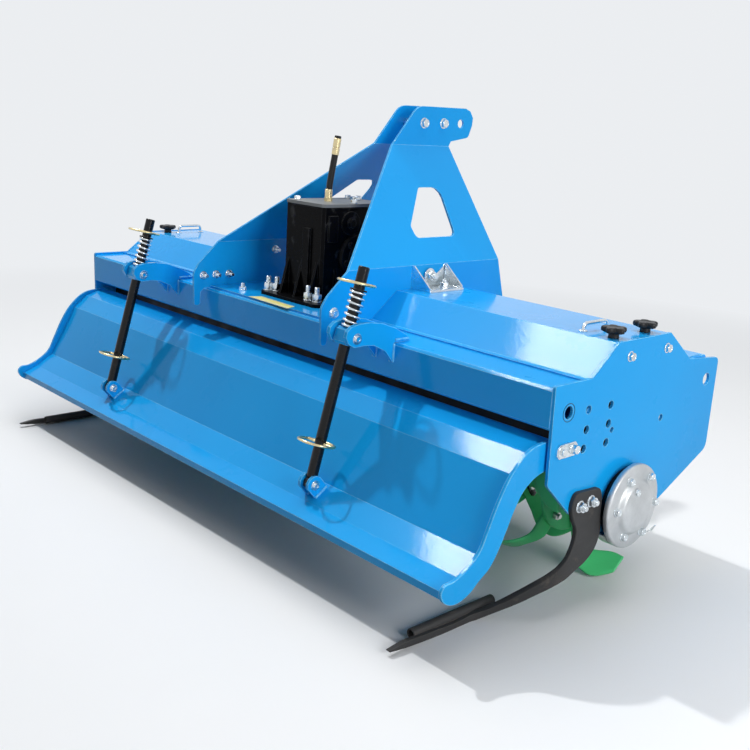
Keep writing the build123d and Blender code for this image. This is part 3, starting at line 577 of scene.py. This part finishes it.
turned(trim, place(0, 60, input_z), (0, 1, 0),
       [(0, 0.0640), (0.060, 0.0625), (0.0735, 0.0622), (0.0745, 0.0612), (0.0745, 0.0300),
        (0.0680, 0.0290)], 72)
u = around(56)
corner = 0.5 * (np.abs(np.cos(u)) ** 7 + np.abs(np.sin(u)) ** 7) ** (-1 / 7)
lid = np.stack([0.178 * corner * np.cos(u), 0.254 * corner * np.sin(u), 0 * u], 1) + place(0, -50, 832)
slab(trim, lid, (0, 0, 0.0035))
trim.make("gearbox_trim", black_casting, "frame", "black_case")

# ---------------------------------------------------------------- input shaft: six splines
shaft = Piece()
shaft_r, spline_deep = 17.5, 2.6
a = around(96)
spline = np.clip(0.5 + 2.2 * np.cos(6 * a), 0, 1)
rows = [(0.144, 0.0, 17.5), (0.146, 0.0, 17.5), (0.150, 1.0, 17.5), (0.214, 1.0, 17.5), (0.2146, 1.0, 14.4),
        (0.221, 1.0, 14.4), (0.2216, 1.0, 17.5), (0.241, 1.0, 17.5), (0.2438, 1.0, 15.2)]
ahead, cut, size = (np.array(c)[:, None] for c in zip(*rows))
radius = np.minimum(size, shaft_r - spline_deep * cut * (1 - spline)) / 1000
body = np.stack([radius * np.sin(a), ahead + 0 * radius, radius * np.cos(a)], axis=-1)
shaft.grid(place(0, 0, input_z) + body)
turned(shaft, place(0, 74, input_z), (0, 1, 0),
       [(0, 0.0225), (0.068, 0.0225), (0.070, 0.0215), (0.070, 0.016)], 48)
shaft.make("splined_shaft", turned_steel, "input_shaft", "bare_steel", "input_shaft")

# ---------------------------------------------------------------- breather
hose, fitting = Piece(), Piece()
stem = place(0, -88, lid_top)
line = np.stack([stem + (0, 0, 0.018), stem + (0.001, 0.001, 0.060), place(6, -84, 925),
                 place(12, -77, 1000)])
s = np.linspace(0, 1, 40)[:, None]
curve = ((1 - s) ** 3 * line[0] + 3 * s * (1 - s) ** 2 * line[1]
         + 3 * s ** 2 * (1 - s) * line[2] + s ** 3 * line[3])
bar(hose, curve, 0.0094, (1, 0, 0), 20)
top = unit(line[3] - line[2])
turned(hose, line[3] + top * 0.0255, top,
       [(0, 0.0096), (0.0062, 0.0096), (0.0075, 0.0080), (0.0075, 0.001)], 24)
turned(fitting, stem, (0, 0, 1), [(0, 0.0105, 0.0122), (0.009, 0.0105, 0.0122), (0.010, 0.0108, 0.0122),
                                  (0.010, 0.0108), (0.034, 0.0108), (0.035, 0.0098)], 36)
turned(fitting, line[3] - top * 0.022, top,
       [(0, 0.0096), (0.001, 0.0108), (0.020, 0.0108), (0.0205, 0.0098), (0.0225, 0.0098), (0.023, 0.0108),
        (0.046, 0.0108), (0.0475, 0.0096)], 28)
hose.make("breather_hose", hose_rubber, "frame", "hose_rubber", "breather_pipe")
fitting.make("breather_fittings", yellow_zinc, "frame", "yellow_zinc")

# ---------------------------------------------------------------- rotor
SKEW = math.radians(20)        # how far askew each blade's bend lies
REACH = 234.6                  # furthest a blade's tip comes from the axis
PITCH, FIRST = 178, 172        # millimetres from flange to flange, and out to the first one
STEP, START = 20.0, 16.0       # degrees from one row of blades to the next, and of the outermost
PAD = 0.092                    # where the backing washers lie, in metres out from the axis


def ease(q):
    """q^2 (3 - 2q) between 0 and 1, level on either side."""
    q = np.clip(q, 0, 1)
    return q ** 2 * (3 - 2 * q)


def blade_sheet(hand):
    """One scooped blade hanging from the axis, as rings of points across it. Its middle line runs
    straight down and then along a parabola out to the side, (1-t)^2 A + 2t(1-t) B + t^2 C. Along t
    the leading edge swells and comes back at the tip; the trailing edge draws in to the bend and
    swings out past it. The bend lies askew, so a point at y drops by y tan SKEW."""
    t = np.linspace(0, 1, 22)
    ends = [np.array(q) for q in ((4.0, -138.0), (6.0, -192.0), (107.0, -201.0))]
    arc = (1 - t)[:, None] ** 2 * ends[0] + 2 * (t * (1 - t))[:, None] * ends[1] + t[:, None] ** 2 * ends[2]
    line = np.concatenate([[[4.0, -50.0], [4.0, -95.0]], arc])
    t = np.concatenate([[0, 0], t])[:, None]
    along = unit(np.gradient(line, axis=0))
    lead = -28 - 18 * ease(t / 0.5) + 40 * np.clip((t - 0.66) / 0.34, 0, 1) ** 2
    trail = 28 - 20 * ease(t / 0.42) + 32 * ease((t - 0.42) / 0.5)
    v = np.linspace(0, 1, 12)
    thick = 3.9 * (1 - 0.55 * np.abs(2 * v - 1) ** 7)
    v, thick = np.concatenate([v, v[::-1]]), np.concatenate([thick, -thick[::-1]])
    y = lead + (trail - lead) * v
    x = line[:, :1] - along[:, 1:] * thick
    z = (line[:, 1:] + along[:, :1] * thick) / math.cos(SKEW) + y * math.tan(SKEW)
    keep = np.minimum(1.0, REACH / np.hypot(y, z))
    p = np.stack([x * hand, y * keep, z * keep], axis=-1) / 1000
    return p if hand > 0 else p[:, ::-1]


drum, backing, blade_bolts = Piece(), Piece(), Piece()
shaft_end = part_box("rotor")[1][0]
turned(drum, place(0, 0, AXIS_Z) - (shaft_end, 0, 0), (1, 0, 0),
       [(0, 0.029), (0.001, 0.030), (2 * shaft_end - 0.001, 0.030), (2 * shaft_end, 0.029)], 40)
capsule = np.linspace(0, 2 * math.pi, 28, endpoint=False)
pad_long = 0.018 * np.sign(np.cos(capsule)) + 0.012 * np.cos(capsule)
pad_wide = 0.012 * np.sin(capsule)
nut_rows = [(0, 0.0095, 9), (0.009, 0.0095, 0.0108), (0.010, 0.0095, 0.0098), (0.010, 0.006), (0.016, 0.006)]
flange_rows = [(0, 0.1165), (0.0015, 0.118), (0.0085, 0.118), (0.010, 0.1165)]
for side in (-1, 1):
    turned(drum, place(side * 56, 0, AXIS_Z), (side, 0, 0), [(0, 0.044), (0.954, 0.044)], 48)
    for i in range(5):
        x = side * (FIRST + PITCH * i)
        turned(drum, place(x - 5, 0, AXIS_Z), (1, 0, 0), flange_rows, 96)
        for k in range(6):
            hand = 1 if k % 2 == 0 else -1
            out, pad = (hand, 0, 0), (hand * 0.004, 0, 0)
            a = math.radians(START + STEP * (4 - i) + (0 if side > 0 else 60) + 60 * k)
            down = np.array([0, math.sin(a), -math.cos(a)])
            sideways = np.array([0, math.cos(a), math.sin(a)])
            p = blade_sheet(hand)
            drum.grid(place(x + hand * 5, 0, AXIS_Z)
                      + p[..., :1] * (1, 0, 0) + p[..., 1:2] * sideways - p[..., 2:] * down)
            centre = place(x + hand * 13, 0, AXIS_Z) + down * PAD
            slab(backing, centre + np.outer(pad_long, down) + np.outer(pad_wide, sideways), pad)
            bolt(blade_bolts, centre + pad - down * 0.009, out, head=0.009, washer=0.0, spin=a)
            turned(blade_bolts, place(x - hand * 5, 0, AXIS_Z) + down * PAD, (-hand, 0, 0), nut_rows, 24)
drum.make("bladed_rotor", blade_enamel, "rotor", "green_blade", "rotor", sharp=42)
backing.make("blade_backing", black_paint, "rotor", "black_steel")
blade_bolts.make("blade_bolts", turned_steel, "rotor", "bare_steel")

# ---------------------------------------------------------------- tailgate's end bands
bands = Piece()
band_thick = 0.008
outline = flowing([(-296, 436), (-347, 428), (-404, 384), (-440, 329), (-465, 277), (-490, 229),
                   (-518, 207), (-560, 188), (-588, 184), (-596, 173), (-589, 152), (-566, 137),
                   (-511, 145), (-482, 166), (-453, 185), (-426, 222), (-405, 262), (-385, 302),
                   (-358, 340), (-330, 358), (-248, 388), (-240, 400), (-240, 426), (-252, 438)])
band_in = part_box("tailgate_bands")[1][0] - band_thick
for side in (-1, 1):
    slab(bands, on_plane(side * band_in, outline), (side * band_thick, 0, 0), 0.0012)
bands.make("gate_bands", blue_enamel, "tailgate", "blue_paint", "tailgate_bands", sharp=20)

# ---------------------------------------------------------------- adjusters: rods, springs, rings, pins
adjuster_x, block_spot, pin_spot = 497, (-426, 578), (-520, 226)
rise, run = block_spot[1] - pin_spot[1], block_spot[0] - pin_spot[0]
lean = math.atan2(run, rise)
span = math.hypot(run, rise) / 1000                # from the rod's lower pin to its swivel block
up_rod = np.array([0, math.sin(lean), math.cos(lean)])
back_rod = np.array([0, -math.cos(lean), math.sin(lean)])
rod_top = span + 0.171
rod_rows = [(0, 0.009), (0.004, 0.0135), (0.007, 0.0139), (rod_top - 0.0145, 0.0139),
            (rod_top - 0.0125, 0.0122)]
washer_on_rod = [(0, 0.0205), (0.0008, 0.0210), (0.0032, 0.0210), (0.0040, 0.0202), (0.0040, 0.014)]
eye_rows = [(0.0012, 0.0106), (0, 0.0116), (0, 0.0135), (0.0018, 0.0150), (0.0182, 0.0150), (0.020, 0.0135),
            (0.020, 0.0116), (0.0188, 0.0106), (0.0012, 0.0106)]
clip_rows = [(0, 0.0034), (0.001, 0.0040), (0.0300, 0.0040), (0.0590, 0.0040), (0.0880, 0.0040),
             (0.089, 0.0034)]
cap_rows = [(0, 0.0135), (0.0016, 0.0135), (0.0020, 0.0130), (0.0020, 0.0082), (0.0059, 0.0082),
            (0.0062, 0.0078), (0.0062, 0.0050), (0.0050, 0.0045)]
for side, name in ((1, "right"), (-1, "left")):
    block = place(side * adjuster_x, *block_spot)
    foot = block - up_rod * span
    rod = Piece()
    turned(rod, foot + up_rod * 0.0125, up_rod, rod_rows, 48)
    turned(rod, block + up_rod * 0.1116, up_rod, washer_on_rod, 40)
    turned(rod, foot - (0.010, 0, 0), (1, 0, 0), eye_rows, 40, (False, False))
    rod.make("rod_" + name, black_paint, "rod_" + name, "black_steel", "adjuster_rod_" + name)

    coil = Piece()
    low, high, turns, size, wire = 0.0213, 0.1113, 6.4, 0.0178, 0.0030
    s = np.linspace(0, 1, int(turns * 40))
    pace = np.clip(s * turns / 0.9, 0, 1) * np.clip((1 - s) * turns / 0.9, 0, 1)
    climb = np.cumsum(0.22 + pace)
    climb = low + wire + (climb - climb[0]) / (climb[-1] - climb[0]) * (high - low - 2 * wire)
    a = s * turns * 2 * math.pi
    line = (block + np.outer(size * np.cos(a), (1, 0, 0)) + np.outer(size * np.sin(a), back_rod)
            + np.outer(climb, up_rod))
    bar(coil, line, wire, up_rod, 12)
    coil.make("coil_spring_" + name, zinc_plate, "swivel_" + name, "zinc", "spring_" + name)

    clips = Piece()
    u, ring_r = around(72), 0.0448
    for along, tip in ((-span + 0.100, 0.03), (0.1293, -0.03)):
        at = block + up_rod * along
        ring = np.outer(ring_r * np.cos(u), (1, 0, 0)) + np.outer(0.012 + ring_r * np.sin(u), back_rod)
        bar(clips, at + ring + np.outer(tip * ring_r * np.sin(u), up_rod), 0.0034, up_rod, 12, closed=True)
        turned(clips, at - (0.0445, 0, 0), (1, 0, 0), clip_rows, 20)
    clips.make("ring_pins_" + name, yellow_zinc, "rod_" + name, "yellow_zinc", "ring_clips_" + name)

    caps = Piece()
    for way in (-1, 1):
        turned(caps, block + (way * 0.0362, 0, 0), (way, 0, 0), cap_rows, 32)
    caps.make("trunnion_caps_" + name, zinc_plate, "swivel_" + name, "zinc")

feet, seams, frame_seams = Piece(), Piece(), Piece()
pin_rows = [(0, 0.0125), (0.0018, 0.0125), (0.0022, 0.0120), (0.0022, 0.0075), (0.0070, 0.0075),
            (0.0080, 0.0065), (0.0080, 0.0035), (0.0065, 0.0030)]
along_x = (1, 0, 0)
ear = np.array([[-478.0, 219.0], [-532.0, 183.0]])             # the rod ear's foot along the tailgate
(y0, z0), (y1, z1) = ear[0] + 0.10 * (ear[1] - ear[0]), ear[0] + 0.73 * (ear[1] - ear[0])
for side in (-1, 1):
    for x in (478, 516):
        way = 1 if x > adjuster_x else -1
        turned(feet, place(side * x, *pin_spot), (side * way, 0, 0), pin_rows, 32)
    for x in (477, 487, 507, 517):
        weld(seams, place(side * x, y0 - 1, z0 + 1), place(side * x, y1 - 1, z1 + 1), along_x, 0.0032, seed=x)
    for x in (460.5, 471.5, 522.5, 533.5):
        upright = place(side * x, -303.5, 506), place(side * x, -303.5, 554)
        level = place(side * x, -301, beam_top + 0.5), place(side * x, -254, beam_top + 0.5)
        weld(frame_seams, *upright, along_x, 0.0034, seed=int(x))
        weld(frame_seams, *level, along_x, 0.0030, seed=int(x) + 7)
feet.make("foot_pins", zinc_plate, "tailgate", "zinc")
seams.make("ear_welds", blue_enamel, "tailgate", "blue_paint")
frame_seams.make("wing_welds", blue_enamel, "frame", "blue_paint")

# ---------------------------------------------------------------- black sheet behind the rear beam: painted shade in the gap above the tailgate
gap_shade, flap_bolts = Piece(), Piece()
x = np.linspace(-1.004, 1.004, 240)
wave = 0.0016 * np.sin(x * 31) + 0.0010 * np.sin(x * 73 + 1)
flap_top = 0.4632
down = np.array([flap_top, 0.440, 0.418, 0.396])[:, None]
hang = (flap_top - down) / 0.067
front = np.stack([x + 0 * down, -0.136 + wave * hang, down + 0 * x], axis=-1)
gap_shade.grid(np.concatenate([front, front[::-1] + (0, 0.005, 0)]).transpose(1, 0, 2))
gap_shade.make("gap_shade_sheet", hose_rubber, "frame", "hose_rubber")
for x in range(-960, 961, 83):
    bolt(flap_bolts, place(x, -222.5, 445), (0, -1, 0), af=0.013, head=0.006, washer=0.010, spin=x)
flap_bolts.make("flap_bolts", zinc_plate, "frame", "zinc")

# ---------------------------------------------------------------- hood furniture
knobs = Piece()
a = around(100)
lobe = (0.5 + 0.5 * np.cos(5 * a)) ** 0.7
rows = [(0.0112, 0.30, 0), (0.0118, 0.78, 0.6), (0.0140, 0.96, 1), (0.0170, 1.0, 1), (0.0215, 1.0, 1),
        (0.0245, 0.95, 1), (0.0258, 0.86, 0.9), (0.0259, 0.50, 0.4), (0.0249, 0.42, 0.2)]
h, share, lobed = (np.array(c)[:, None] for c in zip(*rows))
radius = share * (0.0285 * (1 - lobed) + lobed * (0.0205 + 0.0100 * lobe))
for x, y in ((985, -45), (985, 85), (-985, -30)):
    p = place(x, y, hood)
    turned(knobs, p, (0, 0, 1), [(0.0, 0.0125), (0.001, 0.0132), (0.010, 0.0122), (0.0125, 0.015)])
    knobs.grid(p + np.stack([radius * np.cos(a + x), radius * np.sin(a + x), h + 0 * radius], axis=-1))
knobs.make("star_knobs", knob_plastic, "frame", "knob_plastic", "hood_knobs")

handles = Piece()
for x, y, high in ((905, -5, 18), (-955, 45, 25)):
    path = ((-47, 0), (-44, high), (44, high), (47, 0))
    bar(handles, bend_line([place(x, y + dy, hood + up) for dy, up in path], 0.011), 0.0046, (1, 0, 0))
    for dy in (-47, 47):
        turned(handles, place(x, y + dy, hood), (0, 0, 1),
               [(0, 0.0105), (0.002, 0.0105), (0.0028, 0.0095), (0.003, 0.005)])
handles.make("grab_handles", zinc_plate, "frame", "zinc", "lift_handles")

label = Piece()
label_spots = ((-97, -292), (99, -300), (86, -264), (-79, -256))
slab(label, [place(*spot, beam_top + 0.2) for spot in label_spots], (0, 0, 0.0008), 0.0002)
label.make("blank_label", pale_label, "frame", "yellow_zinc")

# a thin black ring about the inspection hole in each end plate
marks = Piece()
u = around(48)
for side in (-1, 1):
    ring = np.stack([0 * u, 0.0205 * np.cos(u), 0.0205 * np.sin(u)], 1)
    bar(marks, place(side * end, -248, 497) + ring, 0.0008, (1, 0, 0), 8, closed=True)
marks.make("hole_rings", black_paint, "frame", "black_steel")

# a black sheet behind each end plate's row of setting holes: painted shade that keeps the holes dark
shade_sheets = Piece()
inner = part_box("end_plate_right")[0][0] * 1000 - 3.0
shade_sheet_rim = flowing([(-214, 376), (-150, 366), (-60, 376), (-48, 440), (-60, 508), (-140, 520), (-212, 512),
                      (-222, 444)], 3)
for side in (-1, 1):
    slab(shade_sheets, on_plane(side * inner / 1000, shade_sheet_rim), (-side * 0.002, 0, 0), 0.0006)
shade_sheets.make("hole_shade_sheets", black_paint, "frame", "black_steel")

# ---------------------------------------------------------------- floor and backdrop
floor = bpy.data.meshes.new("floor")
a = around(96)
spokes = np.stack([np.cos(a), np.sin(a), 0 * a], axis=1)
rings = np.concatenate([spokes * r for r in (0.02, 1.5, 3.0, 6.0, 12.0, 60.0)])
floor.from_pydata(rings.tolist(), [], [list(range(96))] + ring_quads(6, 96)[:, ::-1].tolist())
ground = bpy.data.objects.new("floor", floor)
bpy.context.scene.collection.objects.link(ground)
f = Finish("floor_paint")
pale = (0.835, 0.855, 0.88)                            # the backdrop, which the floor fades into
floor_lit = (0.38, 0.39, 0.40)                         # what the floor throws back on the object
floor_seen = ((0.83, 0.845, 0.86), (0.87, 0.88, 0.89))
f.set(Roughness=0.55, Specular_IOR_Level=0.25)
rays = f.new("ShaderNodeLightPath").outputs
looked_at = f.calc("MAXIMUM", f.calc("MAXIMUM", rays["Is Camera Ray"], rays["Is Glossy Ray"]),
                   rays["Is Transmission Ray"])
f.set(Base_Color=f.blend(looked_at, floor_lit, f.blend(f.noise(1.3, 3.0), *floor_seen)))
x, y, z = f.axes()
far = f.remap(f.calc("SQRT", f.calc("ADD", f.calc("MULTIPLY", x, x), f.calc("MULTIPLY", y, y))), 1.7, 4.2)
glow = f.new("ShaderNodeEmission")
glow.inputs["Color"].default_value = (*pale, 1)
fade = f.new("ShaderNodeMixShader")
surface = f.tree.nodes["Material Output"].inputs["Surface"]
for source, socket in ((far, fade.inputs[0]), (f.shader.outputs[0], fade.inputs[1]),
                       (glow.outputs[0], fade.inputs[2]), (fade.outputs[0], surface)):
    f.tree.links.new(source, socket)
floor.materials.append(f.mat)

# the world lights at a plain level; the eye, gloss and glass see the pale backdrop
world = bpy.data.worlds.new("studio")
bpy.context.scene.world = world
world.use_nodes = True
tree = world.node_tree
tree.nodes.clear()
rays = tree.nodes.new("ShaderNodeLightPath")
fill = tree.nodes.new("ShaderNodeBackground")
fill.inputs["Color"].default_value = (0.93, 0.96, 1.0, 1)
fill.inputs["Strength"].default_value = 0.14
seen = tree.nodes.new("ShaderNodeBackground")
seen.inputs["Color"].default_value = (*pale, 1)
seen.inputs["Strength"].default_value = 1.0
share = rays.outputs["Is Camera Ray"]
for kind in ("Is Glossy Ray", "Is Transmission Ray"):
    either = tree.nodes.new("ShaderNodeMath")
    either.operation = "MAXIMUM"
    tree.links.new(share, either.inputs[0])
    tree.links.new(rays.outputs[kind], either.inputs[1])
    share = either.outputs[0]
mixer = tree.nodes.new("ShaderNodeMixShader")
tree.links.new(share, mixer.inputs[0])
tree.links.new(fill.outputs[0], mixer.inputs[1])
tree.links.new(seen.outputs[0], mixer.inputs[2])
tree.links.new(mixer.outputs[0], tree.nodes.new("ShaderNodeOutputWorld").inputs[0])


# ---------------------------------------------------------------- lamps
def lamp(name, spot, aim, size, power, gloss=True, spread=True):
    """A square lamp facing an aim; gloss and spread say whether it shows in shine and lights matt."""
    data = bpy.data.lights.new(name, "AREA")
    data.shape = "RECTANGLE"
    data.size, data.size_y = size
    data.energy = power
    o = bpy.data.objects.new(name, data)
    bpy.context.scene.collection.objects.link(o)
    o.location = spot
    o.rotation_euler = (Vector(aim) - Vector(spot)).to_track_quat("-Z", "Y").to_euler()
    o.visible_glossy = gloss
    o.visible_diffuse = spread


lamp("key", (-3.1, -0.38, 5.6), (0.1, 0.0, 0.3), (0.18, 0.18), 189, gloss=False)
lamp("key_shine", (-2.6, -0.25, 5.7), (0.1, 0.0, 0.3), (0.8, 0.8), 66, spread=False)
lamp("low_shine", (-2.6, -1.15, 5.1), (0.1, 0.0, 0.3), (1.2, 0.7), 118, spread=False)
lamp("side_shine", (4.3, -0.5, 1.7), (0.9, 0.0, 0.45), (0.5, 1.6), 44, spread=False)
lamp("top", (0.2, 1.0, 4.3), (0.1, 0.0, 0.2), (4.4, 3.4), 109, gloss=False)
lamp("side", (4.3, -0.5, 1.7), (0.9, 0.0, 0.45), (1.8, 1.6), 90, gloss=False)

# ---------------------------------------------------------------- camera, solved from the object's own edges
lens = bpy.data.cameras.new("view")
lens.sensor_width = 36.0
lens.lens = 47.342
lens.shift_x, lens.shift_y = -0.01765, -0.03681
lens.clip_end = 200.0
view = bpy.data.objects.new("view", lens)
bpy.context.scene.collection.objects.link(view)
right = Vector((0.68127532, 0.72966672, 0.05874023))
down = Vector((0.20450034, -0.11266004, -0.97236173))
ahead = Vector((-0.70288232, 0.67445844, -0.2259696))
turn = Matrix((right, -down, -ahead)).transposed().to_4x4()
turn.translation = Vector((2.22489, -1.94577 + AXIS_Y, 1.09003))
view.matrix_world = turn
bpy.context.scene.camera = view
bpy.context.scene.view_settings.view_transform = "Standard"
